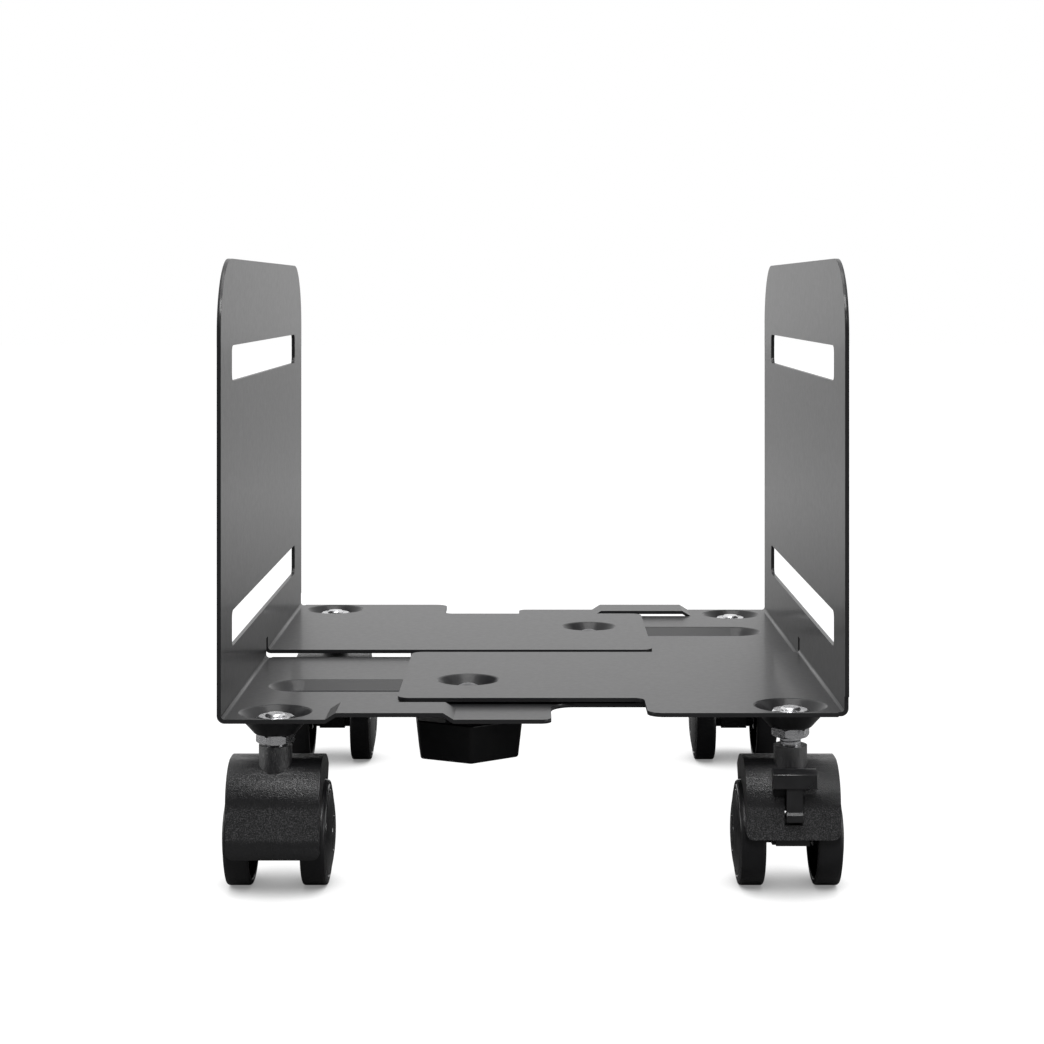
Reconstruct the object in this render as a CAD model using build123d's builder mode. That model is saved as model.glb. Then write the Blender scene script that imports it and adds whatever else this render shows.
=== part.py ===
"""Rolling stand for a desktop computer tower.

Two identical folded steel brackets stand back to back: the right one is the left one
turned half round.  Each has a low tongue and a high tongue, and the high tongue of one
slides over the low tongue of the other to set the width.  A clamp bolt with a plastic
knob holds each pair of tongues, and four twin-wheel casters carry the stand.

Millimetres.  The origin is at the middle of the footprint on the floor, X is across the
computer's width, Y runs to the rear and Z is up.
"""

import os
from math import acos, asin, cos, degrees

from build123d import *

os.makedirs("parts", exist_ok=True)

# Brackets
SHEET = 1.6
OUTER_X = 119.4
HALF_DEPTH = 135.0
PANEL_TOP = 244.0
PANEL_CORNER = 29.0
BEND_RADIUS = 3.0
LOW_TOP = 69.5
HIGH_TOP = 72.0
RELIEF_TOP = 78.0
LOW_INNER_Y = 1.0
HIGH_INNER_Y = 2.75
FLANGE_X = OUTER_X - 4.0
PRESS_RADIUS, PRESS_LIP = 1.4, 0.8

# Tongue outlines
LOW_END, HIGH_END = 54.5, 53.2
LOW_STEP_X, LOW_STEP_Y = 7.0, 104.2
HIGH_STEP_X, HIGH_STEP_Y = 43.5, 106.0

# Strap slots in the side panels
STRAP_LENGTH, STRAP_HEIGHT, STRAP_CORNER = 212.0, 14.0, 3.0
STRAP_HEIGHTS = (99.0, 203.0)

# Raised bridge on the outer edge of the low tongue
BRIDGE_FROM, BRIDGE_TO = -78.5, -30.0
BRIDGE_RAMP, BRIDGE_DEPTH, LANCE_GAP = 4.0, 20.7, 0.3

# Clamp channel, dimple and bolt
CLAMP_X, CLAMP_Y = 26.6, 67.5
CHANNEL_ENDS = (-95.0, -22.0)
CHANNEL_RIM, CHANNEL_FLAT, CHANNEL_DROP = 13.0, 9.0, 4.0
SLOT_ENDS, SLOT_HALF = (-97.4, -24.4), 3.4
CUP_RIM, CUP_FLAT, CUP_DROP = 12.6, 8.6, 4.6
BOLT_RADIUS, BOLT_HEAD_RADIUS, BOLT_HEAD_HEIGHT, BOLT_HEAD_RIM = 3.0, 6.0, 3.2, 0.6
BOLT_SQUARE, BOLT_SQUARE_BOTTOM, BOLT_END, BOLT_CHAMFER = 6.0, 64.4, 46.5, 0.7
SQUARE_PLAY, THREAD_PLAY = 0.2, 0.05
WASHER_TOP, WASHER_THICK, WASHER_RADIUS = 63.8, 1.2, 9.0
KNOB_TOP, KNOB_BOTTOM = 58.0, 42.3
KNOB_TOP_RADIUS, KNOB_BOTTOM_RADIUS, KNOB_TURN = 24.8, 22.8, 35.0
KNOB_NECK_RADIUS, INSERT_RADIUS, INSERT_BOTTOM = 9.2, 5.0, 47.5
KNOB_CORNER, KNOB_TOP_EDGE, KNOB_BOTTOM_EDGE = 2.0, 0.8, 1.0
KNOB_RECESS_RADIUS, KNOB_RECESS_DEPTH, BOLT_ROOM = 15.0, 1.0, 0.4

# Casters
STEM_X, STEM_Y, STEM_RADIUS = 99.0, 120.2, 4.0
DISH_RIM, DISH_FLAT, DISH_DROP = 13.8, 7.9, 6.5
NUT_FLATS, TOP_NUT_HEIGHT, LOCK_NUT_HEIGHT = 13.0, 5.0, 3.6
NUT_CORNER_EXTRA, NUT_CHAMFER = 1.2, 0.7
STEM_ABOVE_DISH, STEM_BOTTOM, STEM_CHAMFER, SWIVEL_PLAY = 6.0, 31.5, 0.8, 0.05
RING_BOTTOM, RING_HEIGHT, RING_INNER, RING_OUTER = 33.0, 1.2, 3.2, 4.6
TRAIL, AXLE_Z, AXLE_RADIUS = 12.5, 20.0, 3.0
WHEEL_RADIUS, WHEEL_INNER, WHEEL_OUTER, WHEEL_DOME = 20.0, 9.9, 19.4, 21.7
RIM_WALL, FACE_WALL, HUB_RADIUS, TREAD_ROUND = 2.4, 1.8, 5.2, 0.8
COVER_EDGE, COVER_GROOVES = 18.6, ((15.6, 16.3, 19.5), (6.4, 7.0, 20.9))
RIB_COUNT, RIB_THICK, RIB_SETBACK = 6, 1.4, 2.5
HOOD_WALL, HOOD_HALF_WIDTH, HOOD_TOP = 1.8, 17.9, 51.0
HOOD_SKIRT, BRAKE_SKIRT, SKIRT_CORNER = 15.0, 22.8, 3.0
LIP_THICK, LIP_GAP = 1.4, 1.0
HOOD_FRONT, HOOD_AXLE_RADIUS, HOOD_REACH = -10.7, 23.2, 26.5
HOOD_CROWN_U, HOOD_BACK = 4.0, (8.0, 24.0)
WEB_OUTLINE = ((0, 49.5), (0, 30), (4, 26), (6.5, 16.5), (17, 16), (19, 24), (17, 40), (15, 49))
COLLAR_RADIUS, COLLAR_TOP, COLLAR_BOTTOM = 6.4, 57.0, 44.0
SOCKET_RADIUS, SOCKET_BOTTOM = 6.2, 30.0
AXLE_BOSS_RADIUS, AXLE_BOSS_PLAY, BORE_PLAY = 4.0, 0.3, 0.3

# Brakes, on the front right and rear left casters
BRAKE_PIN = (-8.6, 33.0)
BRAKE_PIN_RADIUS, BRAKE_PIN_LENGTH = 0.9, 12.0
LUG_BACK, LUG_HEIGHT, LUG_HALF_WIDTH = -6.6, 5.0, 6.5
LEVER_SLOT_BACK, LEVER_SLOT_FRONT, LEVER_SLOT_BOTTOM, LEVER_SLOT_TOP = -6.3, -12.5, 28.4, 40.0
LEVER_NECK, LEVER_PLAY, LEVER_BAR, LEVER_TAB, LEVER_EYE = 6.1, 0.5, 16.6, 12.8, 2.0
BAR_OUTLINE = (
    (-10.6, 46.5), (-10.6, 43), (-14.8, 43), (-14.8, 48.6), (-11.4, 50), (-9.6, 50), (-10.6, 46.5),
)
NECK_OUTLINE = (
    (-11.2, 43.4), (-13.8, 43.4), (-13.4, 34), (-14.2, 33), (-14.2, 30.5),
    (-11.2, 30.5), (-11.2, 31.2), (-8.6, 31.2), (-8.6, 34.8), (-11.2, 34.8),
)
TAIL_OUTLINE = ((-8.4, 33), (-8.4, 20), (-5.6, 20), (-5.6, 23.4), (-6.9, 23.4), (-6.9, 33))
TAB_MIDDLE, TAB_SIZE, BAR_ROUND = (-7.0, 21.7), (2.8, 3.4), 0.6


def write(builder, label):
    """Label one finished piece and write it under its own name."""
    builder.part.label = label
    export_step(builder.part, f"parts/{label}.step")


def sheet_face(points, radii):
    """A flat outline through the points, its inner corners rounded by the radii."""
    with BuildSketch() as face:
        with BuildLine():
            FilletPolyline(*points, radius=radii)
            Line(points[-1], points[0])
        make_face()
    return face.sketch


def pressed_face(hole, flat, rim, drop):
    """Half section of a pressed cup, radius along x and height along y, deck top at 0."""
    lip = rim + PRESS_LIP
    with BuildSketch() as face:
        with BuildLine():
            FilletPolyline((hole, -drop), (flat, -drop), (rim, 0), (lip, 0), radius=PRESS_RADIUS)
            Line((lip, 0), (lip, -SHEET))
            FilletPolyline(
                (lip, -SHEET), (rim, -SHEET), (flat, -drop - SHEET), (hole, -drop - SHEET),
                radius=PRESS_RADIUS,
            )
            Line((hole, -drop - SHEET), (hole, -drop))
        make_face()
    return face.sketch


def dome_radius_for(edge, rise):
    """Radius of the ball that a dome with this edge radius and rise is cut from."""
    return (edge**2 + rise**2) / (2 * rise)


def caster_plane(side, end):
    """Side view of a caster: origin under its stem, x along the trail, y up."""
    return Plane(origin=(side * STEM_X, end * STEM_Y, 0), x_dir=(0, -end, 0), z_dir=(-end, 0, 0))


def deck_top(side, end):
    """Height of the deck over a caster: low at the left front and the right rear."""
    return LOW_TOP if side == end else HIGH_TOP


def build_bracket():
    """The left bracket: a side panel, a low tongue in front and a high one behind."""
    section = Plane(origin=(0, 0, 0), x_dir=(1, 0, 0), z_dir=(0, -1, 0))
    low_plane = Plane.XY.offset(LOW_TOP - SHEET)
    high_plane = Plane.XY.offset(HIGH_TOP - SHEET)
    low_outline = sheet_face(
        [(-FLANGE_X, -HALF_DEPTH), (LOW_STEP_X, -HALF_DEPTH), (LOW_STEP_X, -LOW_STEP_Y),
         (LOW_END, -LOW_STEP_Y), (LOW_END, -LOW_INNER_Y), (-FLANGE_X, -LOW_INNER_Y)],
        [4, 9, 5, 5],
    )
    high_outline = sheet_face(
        [(-FLANGE_X, HALF_DEPTH), (-HIGH_STEP_X, HALF_DEPTH), (-HIGH_STEP_X, HIGH_STEP_Y),
         (HIGH_END, HIGH_STEP_Y), (HIGH_END, HIGH_INNER_Y), (-FLANGE_X, HIGH_INNER_Y)],
        [6, 4, 5, 5],
    )
    panel_outline = sheet_face(
        [(-HALF_DEPTH, RELIEF_TOP), (-HALF_DEPTH, PANEL_TOP),
         (HALF_DEPTH, PANEL_TOP), (HALF_DEPTH, RELIEF_TOP)],
        [PANEL_CORNER, PANEL_CORNER],
    )

    with BuildPart() as bracket:
        # Side panel, then the two tongues at their own levels
        extrude(Plane.YZ.offset(-OUTER_X) * panel_outline, amount=SHEET)
        extrude(low_plane * low_outline, amount=SHEET)
        extrude(high_plane * high_outline, amount=SHEET)

        # Bends from the panel down into each tongue, with the relief slit between them
        for top, start, length in (
            (LOW_TOP, -LOW_INNER_Y, HALF_DEPTH - LOW_INNER_Y),
            (HIGH_TOP, HALF_DEPTH, HALF_DEPTH - HIGH_INNER_Y),
        ):
            with BuildSketch(section.offset(-start)) as bend:
                with BuildLine():
                    FilletPolyline(
                        (-OUTER_X, RELIEF_TOP), (-OUTER_X, top - SHEET), (-FLANGE_X, top - SHEET),
                        radius=BEND_RADIUS,
                    )
                    Line((-FLANGE_X, top - SHEET), (-FLANGE_X, top))
                    FilletPolyline(
                        (-FLANGE_X, top), (SHEET - OUTER_X, top), (SHEET - OUTER_X, RELIEF_TOP),
                        radius=BEND_RADIUS - SHEET,
                    )
                    Line((SHEET - OUTER_X, RELIEF_TOP), (-OUTER_X, RELIEF_TOP))
                make_face()
            extrude(bend.sketch, amount=length)

        # Strap slots
        with BuildSketch(Plane.YZ.offset(-OUTER_X)) as straps:
            with Locations(*[(0, height) for height in STRAP_HEIGHTS]):
                RectangleRounded(STRAP_LENGTH, STRAP_HEIGHT, STRAP_CORNER)
        extrude(amount=SHEET, mode=Mode.SUBTRACT)

        # Bridge: the outer edge of the low tongue is lanced and raised to the high level
        bridge_middle = (BRIDGE_FROM + BRIDGE_TO) / 2
        lance_depth = BRIDGE_DEPTH + LANCE_GAP
        with BuildSketch(low_plane) as lance:
            with Locations((bridge_middle, lance_depth / 2 - HALF_DEPTH)):
                Rectangle(BRIDGE_TO - BRIDGE_FROM, lance_depth)
        extrude(amount=SHEET, mode=Mode.SUBTRACT)
        with BuildSketch(section.offset(HALF_DEPTH)) as bridge:
            with BuildLine():
                for level, drop in ((LOW_TOP, HIGH_TOP), (LOW_TOP - SHEET, HIGH_TOP - SHEET)):
                    Polyline(
                        (BRIDGE_FROM - 1, level), (BRIDGE_FROM, level), (BRIDGE_FROM + BRIDGE_RAMP, drop),
                        (BRIDGE_TO - BRIDGE_RAMP, drop), (BRIDGE_TO, level), (BRIDGE_TO + 1, level),
                    )
                for end in (BRIDGE_FROM - 1, BRIDGE_TO + 1):
                    Line((end, LOW_TOP), (end, LOW_TOP - SHEET))
            make_face()
        extrude(amount=-BRIDGE_DEPTH)

        # Pressed cups: caster dishes, the clamp cup of the high tongue, the channel's round ends
        channel = (CHANNEL_FLAT, CHANNEL_RIM, CHANNEL_DROP)
        dish = (DISH_FLAT, DISH_RIM, DISH_DROP)
        for x, y, top, hole, shape, start, arc in (
            (-STEM_X, -STEM_Y, LOW_TOP, STEM_RADIUS, dish, (1, 0, 0), 360),
            (-STEM_X, STEM_Y, HIGH_TOP, STEM_RADIUS, dish, (1, 0, 0), 360),
            (CLAMP_X, CLAMP_Y, HIGH_TOP, 0, (CUP_FLAT, CUP_RIM, CUP_DROP), (1, 0, 0), 360),
            (CHANNEL_ENDS[0], -CLAMP_Y, LOW_TOP, 0, channel, (0, 1, 0), 180),
            (CHANNEL_ENDS[1], -CLAMP_Y, LOW_TOP, 0, channel, (0, -1, 0), 180),
        ):
            with BuildSketch(Plane((x, y, top - SHEET))) as opening:
                Circle(shape[1] + PRESS_LIP / 2)
            extrude(amount=SHEET, mode=Mode.SUBTRACT)
            cup_normal = Vector(start).cross(Vector(0, 0, 1))
            cup_plane = Plane(origin=(x, y, top), x_dir=start, z_dir=cup_normal)
            revolve(cup_plane * pressed_face(hole, *shape), Axis((x, y, 0), (0, 0, 1)), revolution_arc=arc)

        # Straight run of the channel between its two round ends
        channel_length = CHANNEL_ENDS[1] - CHANNEL_ENDS[0]
        channel_middle = sum(CHANNEL_ENDS) / 2
        with BuildSketch(low_plane) as channel_opening:
            with Locations((channel_middle, -CLAMP_Y)):
                Rectangle(channel_length, 2 * CHANNEL_RIM + PRESS_LIP)
        extrude(amount=SHEET, mode=Mode.SUBTRACT)
        for way in (1, -1):
            run_plane = Plane(
                origin=(CHANNEL_ENDS[0], -CLAMP_Y, LOW_TOP), x_dir=(0, way, 0), z_dir=(way, 0, 0)
            )
            extrude(run_plane * pressed_face(0, *channel), amount=way * channel_length)

        # Slot for the clamp bolt, and the square hole that keeps the other bolt from turning
        with BuildSketch(Plane.XY.offset(LOW_TOP - CHANNEL_DROP - SHEET)) as slot:
            with Locations((sum(SLOT_ENDS) / 2, -CLAMP_Y)):
                SlotCenterToCenter(SLOT_ENDS[1] - SLOT_ENDS[0], 2 * SLOT_HALF)
        extrude(amount=SHEET, mode=Mode.SUBTRACT)
        with BuildSketch(Plane.XY.offset(HIGH_TOP - CUP_DROP - SHEET)) as square_hole:
            with Locations((CLAMP_X, CLAMP_Y)):
                Rectangle(BOLT_SQUARE + SQUARE_PLAY, BOLT_SQUARE + SQUARE_PLAY)
        extrude(amount=SHEET, mode=Mode.SUBTRACT)
    return bracket


def draw_hood_side(inset):
    """Side outline of the hood from its skirt over the crown to its back end, moved in by the inset."""
    crown_radius = HOOD_CROWN_U - HOOD_FRONT
    crown = (HOOD_CROWN_U, HOOD_TOP - crown_radius)
    back_radius = HOOD_TOP - HOOD_BACK[1]
    back_angle = degrees(acos((HOOD_REACH - HOOD_BACK[0]) / back_radius))
    skirt_radius = HOOD_AXLE_RADIUS - inset
    skirt_angle = asin((AXLE_Z - HOOD_SKIRT) / skirt_radius)
    CenterArc((TRAIL, AXLE_Z), skirt_radius, 180, degrees(skirt_angle))
    Line((HOOD_FRONT + inset, AXLE_Z), (HOOD_FRONT + inset, crown[1]))
    CenterArc(crown, crown_radius - inset, 90, 90)
    Line((crown[0], HOOD_TOP - inset), (HOOD_BACK[0], HOOD_TOP - inset))
    back_arc = CenterArc(HOOD_BACK, back_radius - inset, back_angle, 90 - back_angle)
    return (TRAIL - skirt_radius * cos(skirt_angle), HOOD_SKIRT), back_arc @ 0


def build_hood(side, end, braked):
    """Caster body: the curved hood, its stem socket and the web that holds the axle."""
    side_view = caster_plane(side, end)
    stem_at = (side * STEM_X, end * STEM_Y)
    axle = (TRAIL, AXLE_Z)
    skirt = BRAKE_SKIRT if braked else HOOD_SKIRT
    with BuildPart() as hood:
        # Curved shell, drawn from the side
        with BuildSketch(side_view) as shell:
            with BuildLine():
                outer_skirt, outer_back = draw_hood_side(0)
                inner_skirt, inner_back = draw_hood_side(HOOD_WALL)
                Line(outer_skirt, inner_skirt)
                Line(outer_back, inner_back)
            make_face()
        extrude(amount=HOOD_HALF_WIDTH, both=True)

        # Side lips that reach from the shell down to the wheels
        for way in (1, -1):
            with BuildSketch(side_view.offset(way * (HOOD_HALF_WIDTH - LIP_THICK))) as lip:
                with BuildLine():
                    lip_skirt, lip_back = draw_hood_side(0)
                    Line(lip_skirt, axle)
                    Line(axle, lip_back)
                make_face()
                with Locations(axle):
                    Circle(WHEEL_RADIUS + LIP_GAP, mode=Mode.SUBTRACT)
            extrude(amount=way * LIP_THICK)

        # Web between the wheels, and the boss that the axle passes through
        with BuildSketch(side_view) as web:
            with BuildLine():
                Polyline(*WEB_OUTLINE, close=True)
            make_face()
        extrude(amount=SOCKET_RADIUS, both=True)
        with BuildSketch(side_view) as axle_boss:
            with Locations(axle):
                Circle(AXLE_BOSS_RADIUS)
        extrude(amount=WHEEL_INNER - AXLE_BOSS_PLAY, both=True)

        # Socket and collar round the stem
        for radius, bottom, top in (
            (SOCKET_RADIUS, SOCKET_BOTTOM, COLLAR_BOTTOM + 1), (COLLAR_RADIUS, COLLAR_BOTTOM, COLLAR_TOP),
        ):
            with BuildSketch(Plane((*stem_at, bottom))) as round_section:
                Circle(radius)
            extrude(amount=top - bottom)

        if braked:
            # Lugs for the brake pin, the lever's slot and the higher skirt
            with BuildSketch(side_view) as lug:
                with Locations(((HOOD_FRONT + LUG_BACK) / 2, BRAKE_PIN[1])):
                    Rectangle(LUG_BACK - HOOD_FRONT, LUG_HEIGHT)
            extrude(amount=LUG_HALF_WIDTH, both=True)
            with BuildSketch(side_view) as lever_slot:
                with Locations(
                    ((LEVER_SLOT_BACK + LEVER_SLOT_FRONT) / 2, (LEVER_SLOT_BOTTOM + LEVER_SLOT_TOP) / 2)
                ):
                    Rectangle(LEVER_SLOT_BACK - LEVER_SLOT_FRONT, LEVER_SLOT_TOP - LEVER_SLOT_BOTTOM)
            extrude(amount=LEVER_NECK / 2 + LEVER_PLAY, both=True, mode=Mode.SUBTRACT)
            with BuildSketch(side_view) as raised_skirt:
                with Locations((HOOD_FRONT, BRAKE_SKIRT - WHEEL_RADIUS / 2)):
                    Rectangle(WHEEL_RADIUS, WHEEL_RADIUS)
            extrude(amount=HOOD_HALF_WIDTH, both=True, mode=Mode.SUBTRACT)
            with BuildSketch(side_view) as pin_bore:
                with Locations(BRAKE_PIN):
                    Circle(BRAKE_PIN_RADIUS)
            extrude(amount=BRAKE_PIN_LENGTH / 2, both=True, mode=Mode.SUBTRACT)

        # Rounded lower corners of the skirt, cut from the front
        front_view = Plane(origin=(*stem_at, 0), x_dir=(1, 0, 0), z_dir=(0, end, 0))
        with BuildSketch(front_view) as corners:
            for way in (1, -1):
                with Locations((way * (HOOD_HALF_WIDTH - SKIRT_CORNER / 2), skirt + SKIRT_CORNER / 2)):
                    Rectangle(SKIRT_CORNER, SKIRT_CORNER)
                with Locations((way * (HOOD_HALF_WIDTH - SKIRT_CORNER), skirt + SKIRT_CORNER)):
                    Circle(SKIRT_CORNER, mode=Mode.SUBTRACT)
        extrude(amount=-HOOD_FRONT + HOOD_WALL, mode=Mode.SUBTRACT)

        # Bores for the stem, its retaining ring and the axle
        for radius, bottom, top in (
            (STEM_RADIUS + SWIVEL_PLAY, STEM_BOTTOM - BORE_PLAY, COLLAR_TOP),
            (RING_OUTER + BORE_PLAY, RING_BOTTOM - BORE_PLAY, RING_BOTTOM + RING_HEIGHT + BORE_PLAY),
        ):
            with BuildSketch(Plane((*stem_at, bottom))) as bore:
                Circle(radius)
            extrude(amount=top - bottom, mode=Mode.SUBTRACT)
        with BuildSketch(side_view) as axle_bore:
            with Locations(axle):
                Circle(AXLE_RADIUS)
        extrude(amount=WHEEL_INNER, both=True, mode=Mode.SUBTRACT)
    return hood


def build_wheel(side, end, way):
    """One wheel of a caster: a tread, a grooved domed cover, a hub and ribs on the inside."""
    centre = Vector(side * STEM_X, end * (STEM_Y - TRAIL), AXLE_Z)
    half_view = Plane(origin=centre, x_dir=(way, 0, 0), z_dir=(0, -way, 0))
    rim_inner, face_inner = WHEEL_RADIUS - RIM_WALL, WHEEL_OUTER - FACE_WALL
    bore, bore_end = AXLE_RADIUS + SWIVEL_PLAY, WHEEL_OUTER - 0.4
    dome_radius = dome_radius_for(COVER_EDGE, WHEEL_DOME - WHEEL_OUTER)
    dome_angle = degrees(asin(COVER_EDGE / dome_radius))
    with BuildPart() as wheel:
        with BuildSketch(half_view) as section:
            with BuildLine():
                FilletPolyline(
                    (face_inner, rim_inner), (WHEEL_INNER, rim_inner), (WHEEL_INNER, WHEEL_RADIUS),
                    (WHEEL_OUTER, WHEEL_RADIUS), (WHEEL_OUTER, COVER_EDGE),
                    radius=TREAD_ROUND,
                )
                CenterArc((WHEEL_DOME - dome_radius, 0), dome_radius, 0, dome_angle)
                Polyline(
                    (WHEEL_DOME, 0), (bore_end, 0), (bore_end, bore), (WHEEL_INNER, bore),
                    (WHEEL_INNER, HUB_RADIUS), (face_inner, HUB_RADIUS), (face_inner, rim_inner),
                )
            make_face()
        revolve(axis=Axis(centre, (1, 0, 0)))
        with BuildSketch(half_view) as grooves:
            for inner, outer, depth in COVER_GROOVES:
                with Locations(((depth + WHEEL_DOME) / 2, (inner + outer) / 2)):
                    Rectangle(WHEEL_DOME - depth, outer - inner)
        revolve(axis=Axis(centre, (1, 0, 0)), mode=Mode.SUBTRACT)
        rib_start = centre + Vector(way * (WHEEL_INNER + RIB_SETBACK), 0, 0)
        rib_plane = Plane(origin=rib_start, x_dir=(0, 1, 0), z_dir=(way, 0, 0))
        with BuildSketch(rib_plane) as ribs:
            with PolarLocations((HUB_RADIUS + rim_inner) / 2, RIB_COUNT):
                Rectangle(rim_inner - HUB_RADIUS + 1, RIB_THICK)
        extrude(amount=face_inner - WHEEL_INNER - RIB_SETBACK + 0.5)
    return wheel


def build_brake_lever(side, end):
    """Toe lever: a bar outside the hood, a neck through it and a tab between the wheels."""
    side_view = caster_plane(side, end)
    with BuildPart() as lever:
        with BuildSketch(side_view) as bar:
            with BuildLine():
                FilletPolyline(*BAR_OUTLINE, radius=BAR_ROUND)
            make_face()
        extrude(amount=LEVER_BAR / 2, both=True)
        with BuildSketch(side_view) as neck:
            for outline in (NECK_OUTLINE, TAIL_OUTLINE):
                with BuildLine():
                    Polyline(*outline, close=True)
                make_face()
            with Locations(BRAKE_PIN):
                Circle(LEVER_EYE)
                Circle(BRAKE_PIN_RADIUS + SWIVEL_PLAY, mode=Mode.SUBTRACT)
        extrude(amount=LEVER_NECK / 2, both=True)
        with BuildSketch(side_view) as tab:
            with Locations(TAB_MIDDLE):
                Rectangle(*TAB_SIZE)
        extrude(amount=LEVER_TAB / 2, both=True)
    return lever


def build_knob(x, y):
    """Six-sided tapered hand knob with a round neck and a blind threaded bore."""
    neck_top = WASHER_TOP - WASHER_THICK
    with BuildPart() as knob:
        for height, radius in ((KNOB_TOP, KNOB_TOP_RADIUS), (KNOB_BOTTOM, KNOB_BOTTOM_RADIUS)):
            with BuildSketch(Plane((x, y, height))) as hexagon:
                RegularPolygon(radius, 6, rotation=KNOB_TURN)
                fillet(hexagon.vertices(), KNOB_CORNER)
        loft()
        fillet(knob.faces().sort_by(Axis.Z)[0].edges(), KNOB_BOTTOM_EDGE)
        fillet(knob.faces().sort_by(Axis.Z)[-1].edges(), KNOB_TOP_EDGE)
        for radius, bottom, top, mode in (
            (KNOB_NECK_RADIUS, KNOB_TOP, neck_top, Mode.ADD),
            (INSERT_RADIUS, INSERT_BOTTOM, neck_top, Mode.SUBTRACT),
            (BOLT_RADIUS + BOLT_ROOM, KNOB_BOTTOM + 2 * KNOB_RECESS_DEPTH, INSERT_BOTTOM, Mode.SUBTRACT),
            (KNOB_RECESS_RADIUS, KNOB_BOTTOM, KNOB_BOTTOM + KNOB_RECESS_DEPTH, Mode.SUBTRACT),
        ):
            with BuildSketch(Plane((x, y, bottom))) as round_section:
                Circle(radius)
            extrude(amount=top - bottom, mode=mode)
    return knob


def build_clamp_bolt(x, y):
    """Carriage bolt: a low domed head, a square neck and a round shank."""
    seat = HIGH_TOP - CUP_DROP
    dome_radius = dome_radius_for(BOLT_HEAD_RADIUS, BOLT_HEAD_HEIGHT - BOLT_HEAD_RIM)
    dome_angle = degrees(asin(BOLT_HEAD_RADIUS / dome_radius))
    with BuildPart() as bolt:
        with BuildSketch(Plane(origin=(x, y, seat), x_dir=(1, 0, 0), z_dir=(0, -1, 0))) as head:
            with BuildLine():
                Line((0, 0), (BOLT_HEAD_RADIUS, 0))
                Line((BOLT_HEAD_RADIUS, 0), (BOLT_HEAD_RADIUS, BOLT_HEAD_RIM))
                CenterArc((0, BOLT_HEAD_HEIGHT - dome_radius), dome_radius, 90 - dome_angle, dome_angle)
                Line((0, BOLT_HEAD_HEIGHT), (0, 0))
            make_face()
        revolve(axis=Axis((x, y, 0), (0, 0, 1)))
        with BuildSketch(Plane((x, y, BOLT_SQUARE_BOTTOM))) as square_neck:
            Rectangle(BOLT_SQUARE, BOLT_SQUARE)
        extrude(amount=seat - BOLT_SQUARE_BOTTOM)
        with BuildSketch(Plane((x, y, BOLT_END))) as shank:
            Circle(BOLT_RADIUS)
        extrude(amount=seat - BOLT_END)
        chamfer(bolt.faces().sort_by(Axis.Z)[0].edges(), BOLT_CHAMFER)
    return bolt


def build_ring(x, y, bottom, inner, outer, height):
    """A flat round washer, bush or ring standing on the given height."""
    with BuildPart() as ring:
        with BuildSketch(Plane((x, y, bottom))) as section:
            Circle(outer)
            Circle(inner, mode=Mode.SUBTRACT)
        extrude(amount=height)
    return ring


def build_nut(x, y, bottom, height, turn):
    """Hexagon nut round the caster stem, its corners eased at both ends."""
    flat, corner = NUT_FLATS / 2, NUT_FLATS / 2 + NUT_CORNER_EXTRA
    with BuildPart() as nut:
        with BuildSketch(Plane((x, y, bottom))) as blank:
            RegularPolygon(NUT_FLATS / 2, 6, major_radius=False, rotation=turn)
            Circle(STEM_RADIUS, mode=Mode.SUBTRACT)
        extrude(amount=height)
        with BuildSketch(Plane(origin=(x, y, bottom), x_dir=(1, 0, 0), z_dir=(0, -1, 0))) as turning:
            with BuildLine():
                Polyline(
                    (0, 0), (flat, 0), (corner, NUT_CHAMFER), (corner, height - NUT_CHAMFER),
                    (flat, height), (0, height), close=True,
                )
            make_face()
        revolve(axis=Axis((x, y, 0), (0, 0, 1)), mode=Mode.INTERSECT)
    return nut


def build_stem(x, y, dish_floor):
    """Caster stem: a threaded stud above, a plain grooved journal below."""
    with BuildPart() as stem:
        with BuildSketch(Plane((x, y, STEM_BOTTOM))) as rod:
            Circle(STEM_RADIUS)
        extrude(amount=dish_floor + STEM_ABOVE_DISH - STEM_BOTTOM)
        for edge_face in (stem.faces().sort_by(Axis.Z)[0], stem.faces().sort_by(Axis.Z)[-1]):
            chamfer(edge_face.edges(), STEM_CHAMFER)
        with BuildSketch(Plane((x, y, RING_BOTTOM))) as groove:
            Circle(STEM_RADIUS + 1)
            Circle(RING_INNER, mode=Mode.SUBTRACT)
        extrude(amount=RING_HEIGHT, mode=Mode.SUBTRACT)
    return stem


def build_rod(x, y, z, radius, length):
    """A round pin or axle along X, centred on the given point."""
    with BuildPart() as rod:
        with BuildSketch(Plane(origin=(x, y, z), x_dir=(0, 1, 0), z_dir=(1, 0, 0))) as section:
            Circle(radius)
        extrude(amount=length / 2, both=True)
    return rod


# Brackets: the right one is the left one turned half round
left_bracket = build_bracket()
write(left_bracket, "left_bracket")
with BuildPart() as right_bracket:
    add(left_bracket.part, rotation=(0, 0, 180))
write(right_bracket, "right_bracket")

# Clamps: the front one sits in the right bracket's high tongue, the rear one in the left's
for place, way in (("front", -1), ("rear", 1)):
    clamp_at = (way * CLAMP_X, way * CLAMP_Y)
    write(build_clamp_bolt(*clamp_at), f"{place}_clamp_bolt")
    washer_bottom = WASHER_TOP - WASHER_THICK
    write(build_ring(*clamp_at, washer_bottom, BOLT_RADIUS + 0.3, WASHER_RADIUS, WASHER_THICK),
          f"{place}_clamp_washer")
    write(build_knob(*clamp_at), f"{place}_clamp_knob")
    write(build_ring(*clamp_at, INSERT_BOTTOM, BOLT_RADIUS + THREAD_PLAY, INSERT_RADIUS,
                     washer_bottom - INSERT_BOTTOM), f"{place}_knob_insert")

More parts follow.
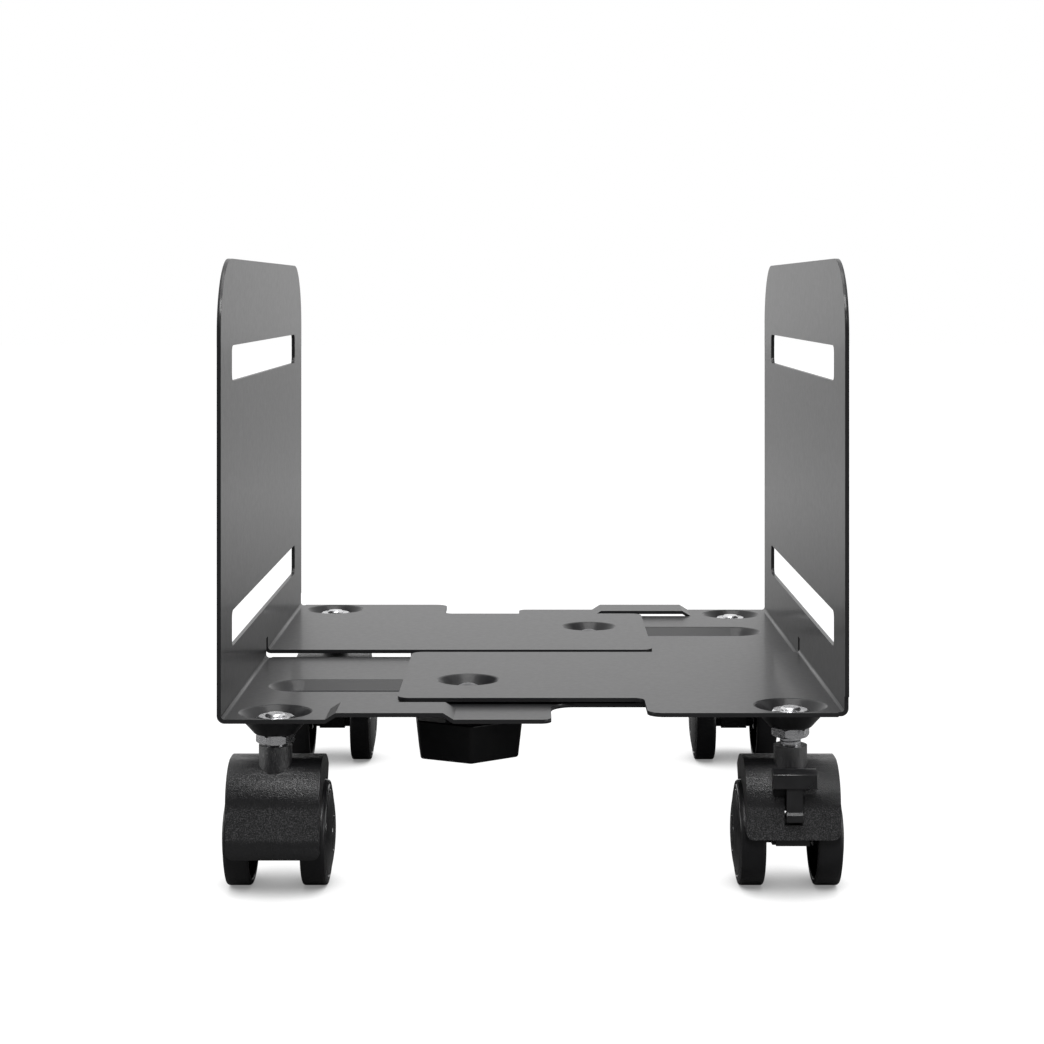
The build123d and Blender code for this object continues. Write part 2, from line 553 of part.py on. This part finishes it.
# Casters, with their stems, nuts, axles, wheels and brakes
for place, side, end in (
    ("front_left", -1, -1), ("front_right", 1, -1), ("rear_left", -1, 1), ("rear_right", 1, 1),
):
    stem_at = (side * STEM_X, end * STEM_Y)
    floor_top = deck_top(side, end) - DISH_DROP
    braked = side != end
    write(build_stem(*stem_at, floor_top), f"{place}_stem")
    write(build_nut(*stem_at, floor_top, TOP_NUT_HEIGHT, 12), f"{place}_top_nut")
    write(build_nut(*stem_at, floor_top - SHEET - LOCK_NUT_HEIGHT, LOCK_NUT_HEIGHT, 8), f"{place}_lock_nut")
    write(build_ring(*stem_at, RING_BOTTOM, RING_INNER, RING_OUTER, RING_HEIGHT), f"{place}_stem_ring")
    write(build_hood(side, end, braked), f"{place}_hood")
    axle_y = end * (STEM_Y - TRAIL)
    write(build_rod(side * STEM_X, axle_y, AXLE_Z, AXLE_RADIUS, 2 * (WHEEL_OUTER - 0.6)), f"{place}_axle")
    for name, way in (("left_wheel", -1), ("right_wheel", 1)):
        write(build_wheel(side, end, way), f"{place}_{name}")
    if braked:
        pin_y = end * (STEM_Y - BRAKE_PIN[0])
        write(build_brake_lever(side, end), f"{place}_brake_lever")
        write(build_rod(side * STEM_X, pin_y, BRAKE_PIN[1], BRAKE_PIN_RADIUS, BRAKE_PIN_LENGTH),
              f"{place}_brake_pin")
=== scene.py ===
"""Looks, studio and camera for the rolling computer stand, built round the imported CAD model.

Metres, in the CAD frame: X across the width, Y to the rear, Z up, the floor at 0.
"""

from math import cos, pi, radians, sin

import bmesh
import bpy
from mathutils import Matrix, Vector
from mathutils.bvhtree import BVHTree


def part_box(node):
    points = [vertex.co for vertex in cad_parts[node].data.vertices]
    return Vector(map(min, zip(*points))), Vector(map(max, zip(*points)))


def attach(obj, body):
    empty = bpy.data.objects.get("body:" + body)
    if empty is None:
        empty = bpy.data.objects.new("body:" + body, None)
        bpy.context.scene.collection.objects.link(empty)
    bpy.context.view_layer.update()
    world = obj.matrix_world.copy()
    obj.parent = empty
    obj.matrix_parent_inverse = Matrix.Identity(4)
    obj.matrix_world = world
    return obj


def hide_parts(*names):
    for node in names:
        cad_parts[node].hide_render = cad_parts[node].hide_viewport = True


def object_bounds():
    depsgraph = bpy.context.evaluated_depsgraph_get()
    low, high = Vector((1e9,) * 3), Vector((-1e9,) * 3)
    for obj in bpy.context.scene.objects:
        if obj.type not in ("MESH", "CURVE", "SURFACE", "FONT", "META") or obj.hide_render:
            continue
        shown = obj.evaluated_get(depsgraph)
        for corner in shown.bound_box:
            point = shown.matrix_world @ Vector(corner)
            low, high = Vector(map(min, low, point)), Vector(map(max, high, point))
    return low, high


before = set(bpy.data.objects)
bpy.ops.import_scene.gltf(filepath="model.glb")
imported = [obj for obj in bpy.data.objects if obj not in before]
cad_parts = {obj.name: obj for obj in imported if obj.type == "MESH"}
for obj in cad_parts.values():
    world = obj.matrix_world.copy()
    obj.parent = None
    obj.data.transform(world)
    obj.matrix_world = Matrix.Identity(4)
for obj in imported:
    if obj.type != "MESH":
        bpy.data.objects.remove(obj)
cad_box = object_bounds()
MM = 0.001

# How much the sharp edges are eased: by what ends the node's name, and for all the others
EDGE_WIDTHS = {"bracket": 0.22 * MM, "hood": 0.4 * MM, "knob": 0.3 * MM}
EDGE_WIDTH = 0.2 * MM

CASTERS = ("front_left", "front_right", "rear_left", "rear_right")
SEAMED_CASTERS = ("front_left", "rear_right")
WHEELS = ("left_wheel", "right_wheel")


# ---------------------------------------------------------------- materials

class Shader:
    """A material with its Principled shader and short ways to add and link nodes."""

    def __init__(self, name, color, roughness, **inputs):
        self.material = bpy.data.materials.new(name)
        self.material.use_nodes = True
        self.tree = self.material.node_tree
        self.surface = self.tree.nodes["Principled BSDF"]
        self.surface.inputs["Base Color"].default_value = (*color, 1)
        self.surface.inputs["Roughness"].default_value = roughness
        for socket, value in inputs.items():
            self.surface.inputs[socket.replace("_", " ")].default_value = value
        self.place = self.node("ShaderNodeTexCoord").outputs["Object"]

    def node(self, kind, **settings):
        made = self.tree.nodes.new(kind)
        for key, value in settings.items():
            if key in made.inputs:
                made.inputs[key].default_value = value
            else:
                setattr(made, key, value)
        return made

    def link(self, output, target):
        self.tree.links.new(output, target)

    def noise(self, scale, detail=3.0, stretch=None):
        """A noise pattern with this many cells a metre, drawn out along an axis if asked."""
        pattern = self.node("ShaderNodeTexNoise", Scale=scale, Detail=detail)
        if stretch is None:
            self.link(self.place, pattern.inputs["Vector"])
        else:
            mapping = self.node("ShaderNodeMapping", Scale=stretch)
            self.link(self.place, mapping.inputs["Vector"])
            self.link(mapping.outputs["Vector"], pattern.inputs["Vector"])
        return pattern.outputs["Fac"]

    def ramp(self, value, low, high, start=0.3, end=0.7):
        """Maps a pattern onto a range between two numbers or two colours."""
        if isinstance(low, tuple):
            ramp = self.node("ShaderNodeValToRGB")
            ramp.color_ramp.elements[0].position = start
            ramp.color_ramp.elements[1].position = end
            ramp.color_ramp.elements[0].color = (*low, 1)
            ramp.color_ramp.elements[1].color = (*high, 1)
            self.link(value, ramp.inputs["Fac"])
            return ramp.outputs["Color"]
        scale = self.node("ShaderNodeMapRange")
        scale.inputs["From Min"].default_value = start
        scale.inputs["From Max"].default_value = end
        scale.inputs["To Min"].default_value = low
        scale.inputs["To Max"].default_value = high
        self.link(value, scale.inputs["Value"])
        return scale.outputs["Result"]

    def color(self, value):
        self.link(value, self.surface.inputs["Base Color"])

    def roughness(self, value):
        self.link(value, self.surface.inputs["Roughness"])

    def bump(self, *layers):
        """Stacks bumps: each layer is a height pattern, a strength and a depth in metres."""
        normal = None
        for height, strength, depth in layers:
            bump = self.node("ShaderNodeBump", Strength=strength, Distance=depth)
            self.link(height, bump.inputs["Height"])
            if normal is not None:
                self.link(normal, bump.inputs["Normal"])
            normal = bump.outputs["Normal"]
        self.link(normal, self.surface.inputs["Normal"])


def powder_coat():
    """Satin black powder coat: fine orange peel, with a very slight cloudiness."""
    coat = Shader("powder_coat", (0.012, 0.012, 0.013), 0.4, Specular_IOR_Level=0.38, Coat_Weight=0.2,
                  Coat_Roughness=0.14)
    peel = coat.noise(900, 2.0)
    coat.color(coat.ramp(coat.noise(30, 3.0), (0.011, 0.011, 0.012), (0.014, 0.014, 0.015)))
    coat.roughness(coat.ramp(coat.noise(420, 4.0), 0.38, 0.41))
    coat.bump((peel, 0.025, 0.0002))
    return coat.material


def zinc_plate():
    """Bright zinc with drawn-out turning marks and faint clouding."""
    zinc = Shader("zinc_plate", (0.70, 0.70, 0.72), 0.2, Metallic=1.0)
    marks = zinc.noise(500, 4.0, stretch=(1, 1, 7))
    zinc.color(zinc.ramp(zinc.noise(160, 3.0), (0.62, 0.62, 0.64), (0.80, 0.80, 0.81)))
    zinc.roughness(zinc.ramp(marks, 0.14, 0.32))
    zinc.bump((marks, 0.06, 0.0002))
    return zinc.material


def black_zinc():
    """Dark passivated zinc of the carriage bolts, with a soft sheen and faint clouding."""
    dark = Shader("black_zinc", (0.13, 0.13, 0.135), 0.34, Metallic=0.9)
    clouds = dark.noise(300, 4.0)
    dark.color(dark.ramp(clouds, (0.09, 0.09, 0.095), (0.18, 0.18, 0.185)))
    dark.roughness(dark.ramp(dark.noise(900, 3.0), 0.28, 0.42))
    dark.bump((clouds, 0.08, 0.0002))
    return dark.material


# Heights between which the hoods' painted glints come in, and between which they go out again; the
# grain bump itself covers the whole hood
GLINT_BAND_FROM = (17 * MM, 23 * MM)
GLINT_BAND_UNTIL = (34 * MM, 44 * MM)


def grained_nylon_painted_glints():
    """Black nylon of the hoods: a spark-eroded grain bump all over, with painted glints, bright specks
    in the colour, only in a band between the skirt and the crown.
    """
    nylon = Shader("grained_nylon_painted_glints", (0.010, 0.010, 0.011), 0.4, Specular_IOR_Level=0.6)
    grain = nylon.noise(2500, 2.0)
    height = nylon.node("ShaderNodeSeparateXYZ")
    nylon.link(nylon.place, height.inputs["Vector"])
    above_skirt = nylon.ramp(height.outputs["Z"], 0.0, 1.0, start=GLINT_BAND_FROM[0], end=GLINT_BAND_FROM[1])
    below_crown = nylon.ramp(height.outputs["Z"], 1.0, 0.0, start=GLINT_BAND_UNTIL[0], end=GLINT_BAND_UNTIL[1])
    band = nylon.node("ShaderNodeMath", operation="MINIMUM")
    nylon.link(above_skirt, band.inputs[0])
    nylon.link(below_crown, band.inputs[1])
    # Painted highlight: the grain's glints, drawn as bright specks in the colour and kept to the band
    # of height
    painted_glints = nylon.node("ShaderNodeMath", operation="MULTIPLY")
    nylon.link(grain, painted_glints.inputs[0])
    nylon.link(band.outputs["Value"], painted_glints.inputs[1])
    dark, bright = (0.010, 0.010, 0.011), (0.105, 0.105, 0.107)
    nylon.color(nylon.ramp(painted_glints.outputs["Value"], dark, bright, start=0.45, end=0.72))
    nylon.roughness(nylon.ramp(nylon.noise(700, 3.0), 0.28, 0.42))
    nylon.bump((grain, 0.55, 0.0004))
    return nylon.material


def smooth_nylon():
    """The same nylon where it is moulded nearly smooth, with a fine haze and rubbed patches."""
    smooth = Shader("smooth_nylon", (0.011, 0.011, 0.012), 0.32, Specular_IOR_Level=0.5)
    rubbed = smooth.noise(150, 4.0)
    smooth.color(smooth.ramp(rubbed, (0.009, 0.009, 0.010), (0.017, 0.017, 0.018)))
    smooth.roughness(smooth.ramp(rubbed, 0.26, 0.40))
    smooth.bump((smooth.noise(2200, 2.0), 0.12, 0.0002))
    return smooth.material


def knob_plastic():
    """Satin black moulding with a very fine grain and soft flow marks."""
    satin = Shader("knob_plastic", (0.004, 0.004, 0.005), 0.34, Specular_IOR_Level=0.3)
    grain = satin.noise(1900, 2.0)
    satin.color(satin.ramp(satin.noise(60, 3.0), (0.003, 0.003, 0.004), (0.006, 0.006, 0.007)))
    satin.roughness(satin.ramp(satin.noise(180, 4.0), 0.30, 0.40))
    satin.bump((grain, 0.12, 0.0002))
    return satin.material


def gloss_cover():
    """Glossy black wheel cover with faint polishing haze."""
    gloss = Shader("gloss_cover", (0.016, 0.016, 0.017), 0.12, Specular_IOR_Level=0.9)
    haze = gloss.noise(220, 5.0)
    gloss.color(gloss.ramp(gloss.noise(45, 3.0), (0.012, 0.012, 0.013), (0.020, 0.020, 0.021)))
    gloss.roughness(gloss.ramp(haze, 0.09, 0.18))
    gloss.bump((haze, 0.04, 0.0003))
    return gloss.material


def tread_plastic():
    """Hard black tread: satin, with fine scuffs round its running face."""
    tread = Shader("tread_plastic", (0.007, 0.007, 0.008), 0.3, Specular_IOR_Level=0.4)
    scuffs = tread.noise(700, 4.0, stretch=(4, 1, 1))
    tread.color(tread.ramp(tread.noise(120, 4.0), (0.005, 0.005, 0.006), (0.012, 0.012, 0.013)))
    tread.roughness(tread.ramp(scuffs, 0.28, 0.5))
    tread.bump((scuffs, 0.18, 0.0002))
    return tread.material


def machined_brass():
    """Turned brass for the threaded inserts."""
    brass = Shader("machined_brass", (0.62, 0.44, 0.18), 0.25, Metallic=1.0)
    marks = brass.noise(900, 3.0, stretch=(1, 1, 6))
    brass.color(brass.ramp(brass.noise(200, 2.0), (0.55, 0.39, 0.16), (0.70, 0.52, 0.24)))
    brass.roughness(brass.ramp(marks, 0.18, 0.34))
    brass.bump((marks, 0.1, 0.0002))
    return brass.material


FLOOR_WHITE = 0.9
GLOW_SHARE = 0.86
SHADOW_REACH = 0.055


def studio_floor():
    """Pale floor that stays near white, with soft shadows only close to what touches it.

    What the camera sees of it is mostly an even glow, and the light that it throws on the object is
    strong behind and beside the object and weak in front of it.
    """
    floor = Shader("studio_floor", (FLOOR_WHITE,) * 3, 0.8, Specular_IOR_Level=0.0)
    contact = floor.node("ShaderNodeAmbientOcclusion", Distance=SHADOW_REACH, samples=16)
    shade = floor.ramp(contact.outputs["AO"], 0.25, 1.16, start=0.12, end=0.70)
    glow = floor.node("ShaderNodeEmission")
    floor.link(shade, glow.inputs["Strength"])
    seen = floor.node("ShaderNodeLightPath").outputs["Is Camera Ray"]
    share = floor.ramp(seen, 0.0, GLOW_SHARE, start=0.0, end=1.0)
    across = floor.node("ShaderNodeSeparateXYZ")
    floor.link(floor.place, across.inputs["Vector"])
    sideways = floor.node("ShaderNodeMath", operation="ABSOLUTE")
    floor.link(across.outputs["X"], sideways.inputs[0])
    outward = floor.node("ShaderNodeMath", operation="MULTIPLY_ADD")
    outward.inputs[1].default_value = 0.9
    floor.link(sideways.outputs["Value"], outward.inputs[0])
    floor.link(across.outputs["Y"], outward.inputs[2])
    bounce = floor.ramp(outward.outputs["Value"], 0.16, 1.0, start=0.3, end=1.5)
    brighter = floor.node("ShaderNodeMath", operation="MAXIMUM")
    floor.link(bounce, brighter.inputs[0])
    floor.link(floor.ramp(seen, 0.0, FLOOR_WHITE, start=0.0, end=1.0), brighter.inputs[1])
    floor.color(brighter.outputs["Value"])
    blend = floor.node("ShaderNodeMixShader")
    floor.link(share, blend.inputs["Fac"])
    floor.link(floor.surface.outputs["BSDF"], blend.inputs[1])
    floor.link(glow.outputs["Emission"], blend.inputs[2])
    output = floor.tree.nodes["Material Output"]
    floor.link(blend.outputs["Shader"], output.inputs["Surface"])
    return floor.material


LOOKS = {
    "steel": powder_coat(),
    "zinc": zinc_plate(),
    "black_zinc": black_zinc(),
    "nylon": grained_nylon_painted_glints(),
    "smooth_nylon": smooth_nylon(),
    "knob": knob_plastic(),
    "gloss": gloss_cover(),
    "tread": tread_plastic(),
    "brass": machined_brass(),
}


# ---------------------------------------------------------------- mesh helpers

LATHE_STEPS = 96
DOUBLED = 0.001 * MM


def new_piece(name, vertices, faces, look, body):
    """A mesh piece that rides on a body and takes a material."""
    mesh = bpy.data.meshes.new(name)
    mesh.from_pydata(vertices, [], faces)
    mesh.polygons.foreach_set("use_smooth", [True] * len(mesh.polygons))
    mesh.materials.append(LOOKS[look])
    piece = bpy.data.objects.new(name, mesh)
    bpy.context.scene.collection.objects.link(piece)
    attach(piece, body)
    return piece


def lathe(profile, centre, axis, out):
    """Vertices and faces of a closed profile, (distance along axis, radius) in mm, turned round it."""
    side = axis.cross(out)
    vertices = [
        centre + (axis * along + (out * cos(turn) + side * sin(turn)) * radius) * MM
        for turn in (2 * pi * step / LATHE_STEPS for step in range(LATHE_STEPS))
        for along, radius in profile
    ]
    count = len(profile)
    faces = []
    for step in range(LATHE_STEPS):
        near, far = step * count, (step + 1) % LATHE_STEPS * count
        for point in range(count):
            after = (point + 1) % count
            faces.append((near + point, near + after, far + after, far + point))
    return vertices, faces


def ridge_faces(steps):
    """Faces of a closed ridge with three points at each of its steps + 1 stations."""
    faces = [(0, 1, 2)]
    for station in range(0, 3 * steps, 3):
        for here, there in ((0, 1), (1, 2), (2, 0)):
            faces.append((station + here, station + here + 3, station + there + 3, station + there))
    faces.append((3 * steps + 2, 3 * steps + 1, 3 * steps))
    return faces


def finish_mesh(piece, angle=32):
    """Joins doubled points, turns faces outward and keeps edges sharper than the angle crisp."""
    work = bmesh.new()
    work.from_mesh(piece.data)
    bmesh.ops.remove_doubles(work, verts=work.verts, dist=DOUBLED)
    bmesh.ops.dissolve_degenerate(work, edges=work.edges, dist=DOUBLED)
    bmesh.ops.recalc_face_normals(work, faces=work.faces)
    work.to_mesh(piece.data)
    work.free()
    piece.data.set_sharp_from_angle(angle=radians(angle))


def ease_edges(node):
    """Rounds a CAD node's sharp edges a little with modifiers, so that they catch the light."""
    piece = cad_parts[node]
    weld = piece.modifiers.new("weld", "WELD")
    weld.merge_threshold = DOUBLED
    bevel = piece.modifiers.new("ease", "BEVEL")
    bevel.width = EDGE_WIDTHS.get(node.rsplit("_", 1)[-1], EDGE_WIDTH)
    bevel.segments = 2
    bevel.limit_method = "ANGLE"
    bevel.angle_limit = radians(40)
    bevel.harden_normals = True


# ---------------------------------------------------------------- CAD nodes that show as they are

LOOK_OF_ENDING = {
    "bracket": "steel",
    "clamp_knob": "knob",
    "hood": "nylon",
    "brake_lever": "smooth_nylon",
    "wheel": "tread",
    "insert": "brass",
    "clamp_bolt": "black_zinc",
}


def dress(node):
    """Gives a CAD node the material for what it is: zinc, unless its ending says otherwise."""
    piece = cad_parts[node]
    look = next((look for ending, look in LOOK_OF_ENDING.items() if node.endswith(ending)), "zinc")
    piece.data.materials.clear()
    piece.data.materials.append(LOOKS[look])


# ---------------------------------------------------------------- wheels

# Profiles in millimetres: distance outward from the wheel's inner face, then radius
TREAD_PROFILE = (
    (0.3, 17.6), (0.0, 17.9), (0.0, 19.1), (0.2, 19.6), (0.7, 19.95), (1.6, 20.0), (8.0, 20.0),
    (8.9, 19.9), (9.35, 19.55), (9.5, 19.0), (9.45, 18.75), (9.0, 18.6), (8.4, 17.6),
)
COVER_PROFILE = (
    (0.0, 3.05), (0.0, 4.9), (0.3, 5.2), (7.7, 5.2), (7.7, 17.65), (8.9, 18.5), (9.35, 18.35),
    (9.7, 17.9), (9.85, 17.4), (9.8, 16.95), (9.45, 16.75), (9.45, 16.4), (9.9, 16.15), (10.35, 14.5),
    (10.8, 12.2), (11.2, 9.6), (11.42, 7.6), (11.4, 7.1), (11.1, 6.9), (11.1, 6.5), (11.5, 6.2),
    (11.7, 4.2), (11.78, 2.0), (11.8, 0.0), (9.1, 0.0), (9.1, 3.05),
)

# Ribs between the hub and the rim, in millimetres
RIBS = 6
RIB_HALF_THICK = 0.7
RIB_START, RIB_END = 2.5, 7.9
RIB_INNER, RIB_OUTER = 4.9, 17.8


def rib_box(centre, axis, out):
    """Corners and faces of one rib between the hub and the rim."""
    side = axis.cross(out)
    corners = [
        centre + (axis * along + out * radius + side * across) * MM
        for along in (RIB_START, RIB_END)
        for radius in (RIB_INNER, RIB_OUTER)
        for across in (-RIB_HALF_THICK, RIB_HALF_THICK)
    ]
    faces = [(0, 1, 3, 2), (4, 6, 7, 5), (0, 4, 5, 1), (2, 3, 7, 6), (0, 2, 6, 4), (1, 5, 7, 3)]
    return corners, faces


def build_wheel(caster, wheel):
    """A satin tread and a glossy ringed cover with its hub and ribs, in place of the plain wheel."""
    node = f"{caster}_{wheel}"
    low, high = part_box(node)
    way = -1 if wheel == "left_wheel" else 1
    axis, out = Vector((way, 0, 0)), Vector((0, 0, 1))
    centre = (low + high) / 2
    centre.x = high.x if way < 0 else low.x

    vertices, faces = lathe(TREAD_PROFILE, centre, axis, out)
    tread = new_piece(f"{node}_tread", vertices, faces, "tread", node)
    vertices, faces = lathe(COVER_PROFILE, centre, axis, out)
    for rib in range(RIBS):
        turn = 2 * pi * rib / RIBS
        corners, sides = rib_box(centre, axis, Vector((0, sin(turn), cos(turn))))
        faces += [tuple(len(vertices) + corner for corner in side) for side in sides]
        vertices += corners
    cover = new_piece(f"{node}_cover", vertices, faces, "gloss", node)
    for piece in (tread, cover):
        finish_mesh(piece)
    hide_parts(node)


# ---------------------------------------------------------------- stem threads

THREAD_PITCH, THREAD_HEIGHT = 1.25 * MM, 0.32 * MM
THREAD_STEPS = 28
RIDGE_SHARE = 0.9
ROOT_DEPTH = 0.1 * MM
GAP_AT_STEM_END, GAP_OVER_COLLAR = 0.6 * MM, 0.3 * MM


def build_thread(name, centre, bottom, top, radius, body):
    """A ridge that winds up a stem of this radius between two heights and fades in at both ends."""
    turns = (top - bottom) / THREAD_PITCH - 1
    count = int(turns * THREAD_STEPS)
    vertices = []
    for step in range(count + 1):
        turn = 2 * pi * step / THREAD_STEPS
        height = bottom + THREAD_PITCH * (turn / (2 * pi) + 0.5)
        fade = min(1.0, step / THREAD_STEPS, (count - step) / THREAD_STEPS)
        crest, root = radius + THREAD_HEIGHT * fade, radius - ROOT_DEPTH
        for out, share in ((root, -0.5), (crest, 0.0), (root, 0.5)):
            rise = height + share * THREAD_PITCH * RIDGE_SHARE
            vertices.append((centre.x + out * cos(turn), centre.y + out * sin(turn), rise))
    finish_mesh(new_piece(name, vertices, ridge_faces(count), "zinc", body))


def thread_stem(caster):
    """Threads on a caster's stem, over its top nut and between its lock nut and the hood."""
    body = "left_side" if caster.endswith("left") else "right_side"
    low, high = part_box(f"{caster}_stem")
    centre = (low + high) / 2
    radius = (high.x - low.x) / 2
    nut_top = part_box(f"{caster}_top_nut")[1].z
    lock_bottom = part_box(f"{caster}_lock_nut")[0].z
    collar_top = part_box(f"{caster}_hood")[1].z
    stretches = {
        "top": (nut_top - THREAD_PITCH, high.z - GAP_AT_STEM_END),
        "low": (collar_top + GAP_OVER_COLLAR, lock_bottom + THREAD_PITCH),
    }
    for place, (start, end) in stretches.items():
        build_thread(f"{caster}_thread_{place}", centre, start, end, radius, body)


# ---------------------------------------------------------------- hood details

SEAM_HALF_WIDTH, SEAM_HEIGHT, SEAM_ROOT = 0.16 * MM, 0.13 * MM, 0.1 * MM
SEAM_ABOVE_BOTTOM, SEAM_BELOW_TOP = 0.6 * MM, 13.5 * MM
SEAM_STEPS = 40
PROBE_START, PROBE_REACH = 10 * MM, 22 * MM


def build_seam(caster):
    """The thin raised mould line down the middle of a hood's front.

    Its points are found by a ray sent at the hood from in front of it at each height.
    """
    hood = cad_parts[f"{caster}_hood"].data
    surface = BVHTree.FromPolygons([v.co for v in hood.vertices], [p.vertices for p in hood.polygons])
    low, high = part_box(f"{caster}_hood")
    front = -1 if caster.startswith("front") else 1
    x = (low.x + high.x) / 2
    y = (low.y if front < 0 else high.y) + front * PROBE_START
    bottom, top = low.z + SEAM_ABOVE_BOTTOM, high.z - SEAM_BELOW_TOP
    side = Vector((SEAM_HALF_WIDTH, 0, 0))
    vertices = []
    for step in range(SEAM_STEPS + 1):
        start = Vector((x, y, bottom + (top - bottom) * step / SEAM_STEPS))
        hit, normal, _, _ = surface.ray_cast(start, Vector((0, -front, 0)), PROBE_REACH)
        if hit is None:
            continue
        if normal.y * front < 0:
            normal = -normal
        root = hit - normal * SEAM_ROOT
        vertices += [root - side, hit + normal * SEAM_HEIGHT, root + side]
    faces = ridge_faces(len(vertices) // 3 - 1)
    seam = new_piece(f"{caster}_hood_seam", vertices, faces, "nylon", f"{caster}_caster")
    finish_mesh(seam, angle=60)


# ---------------------------------------------------------------- studio

# Strength of the surroundings by how far a direction points to the rear, from -1 to 1
ROOM_DARK = {"From Min": -0.6, "To Min": 0.02}
ROOM_BRIGHT = {"From Max": 0.35, "To Max": 0.95}

FLOOR_REACH = 8.0
AIM = (0, 0, 0.1)
# Name, place, side length and power of each light
SOFTBOXES = (
    ("top_softbox", (0.0, -0.1, 1.6), 0.9, 9.0),
    ("front_softbox", (0.0, -1.1, 1.3), 0.6, 16.0),
    ("left_softbox", (-1.5, -0.2, 0.5), 0.6, 6.0),
    ("right_softbox", (1.5, -0.8, 0.45), 0.6, 7.0),
)

CAMERA_HEIGHT = 0.2305
CAMERA_DISTANCE = 0.776
CAMERA_LENS = 70.9
CAMERA_SHIFT = (-0.0105, -0.2193)


def room_light(world):
    """White surroundings that shine from behind, beside and above, and hardly from the front."""
    world.use_nodes = True
    tree = world.node_tree
    background = tree.nodes["Background"]
    background.inputs["Color"].default_value = (1, 1, 1, 1)
    parts = tree.nodes.new("ShaderNodeSeparateXYZ")
    tree.links.new(tree.nodes.new("ShaderNodeTexCoord").outputs["Generated"], parts.inputs["Vector"])
    toward_back = tree.nodes.new("ShaderNodeMapRange")
    toward_back.interpolation_type = "SMOOTHSTEP"
    for socket, value in (ROOM_DARK | ROOM_BRIGHT).items():
        toward_back.inputs[socket].default_value = value
    tree.links.new(parts.outputs["Y"], toward_back.inputs["Value"])
    strength = tree.nodes.new("ShaderNodeMath")
    strength.operation = "MAXIMUM"
    tree.links.new(toward_back.outputs["Result"], strength.inputs[0])
    tree.links.new(tree.nodes.new("ShaderNodeLightPath").outputs["Is Camera Ray"], strength.inputs[1])
    tree.links.new(strength.outputs["Value"], background.inputs["Strength"])


def softbox(name, place, size, power):
    """A square soft light at a place, turned towards the stand."""
    light = bpy.data.lights.new(name, "AREA")
    light.shape = "SQUARE"
    light.size = size
    light.energy = power
    lamp = bpy.data.objects.new(name, light)
    lamp.location = place
    lamp.rotation_euler = (Vector(AIM) - Vector(place)).to_track_quat("-Z", "Y").to_euler()
    bpy.context.scene.collection.objects.link(lamp)


def studio():
    """A wide pale floor in white surroundings, with soft lights above and beside."""
    corners = [(x * FLOOR_REACH, y * FLOOR_REACH, 0.0) for x, y in ((-1, -1), (1, -1), (1, 1), (-1, 1))]
    mesh = bpy.data.meshes.new("studio_floor")
    mesh.from_pydata(corners, [], [(0, 1, 2, 3)])
    mesh.materials.append(studio_floor())
    floor = bpy.data.objects.new("studio_floor", mesh)
    bpy.context.scene.collection.objects.link(floor)

    world = bpy.data.worlds.new("white_room")
    room_light(world)
    bpy.context.scene.world = world
    for box in SOFTBOXES:
        softbox(*box)


def camera():
    """Level camera in front of the stand, raised, with the picture shifted down to it."""
    eye = bpy.data.cameras.new("camera")
    eye.lens = CAMERA_LENS
    eye.sensor_width = 36.0
    eye.shift_x, eye.shift_y = CAMERA_SHIFT
    eye.clip_end = 50.0
    view = bpy.data.objects.new("camera", eye)
    view.location = (0, cad_box[0][1] - CAMERA_DISTANCE, CAMERA_HEIGHT)
    view.rotation_euler = (radians(90), 0, 0)
    bpy.context.scene.collection.objects.link(view)
    bpy.context.scene.camera = view


camera()
studio()
bpy.context.scene.view_settings.view_transform = "Standard"
for cad_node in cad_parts:
    dress(cad_node)
    ease_edges(cad_node)
for stand_caster in CASTERS:
    for caster_wheel in WHEELS:
        build_wheel(stand_caster, caster_wheel)
for stand_caster in CASTERS:
    thread_stem(stand_caster)
for stand_caster in SEAMED_CASTERS:
    build_seam(stand_caster)
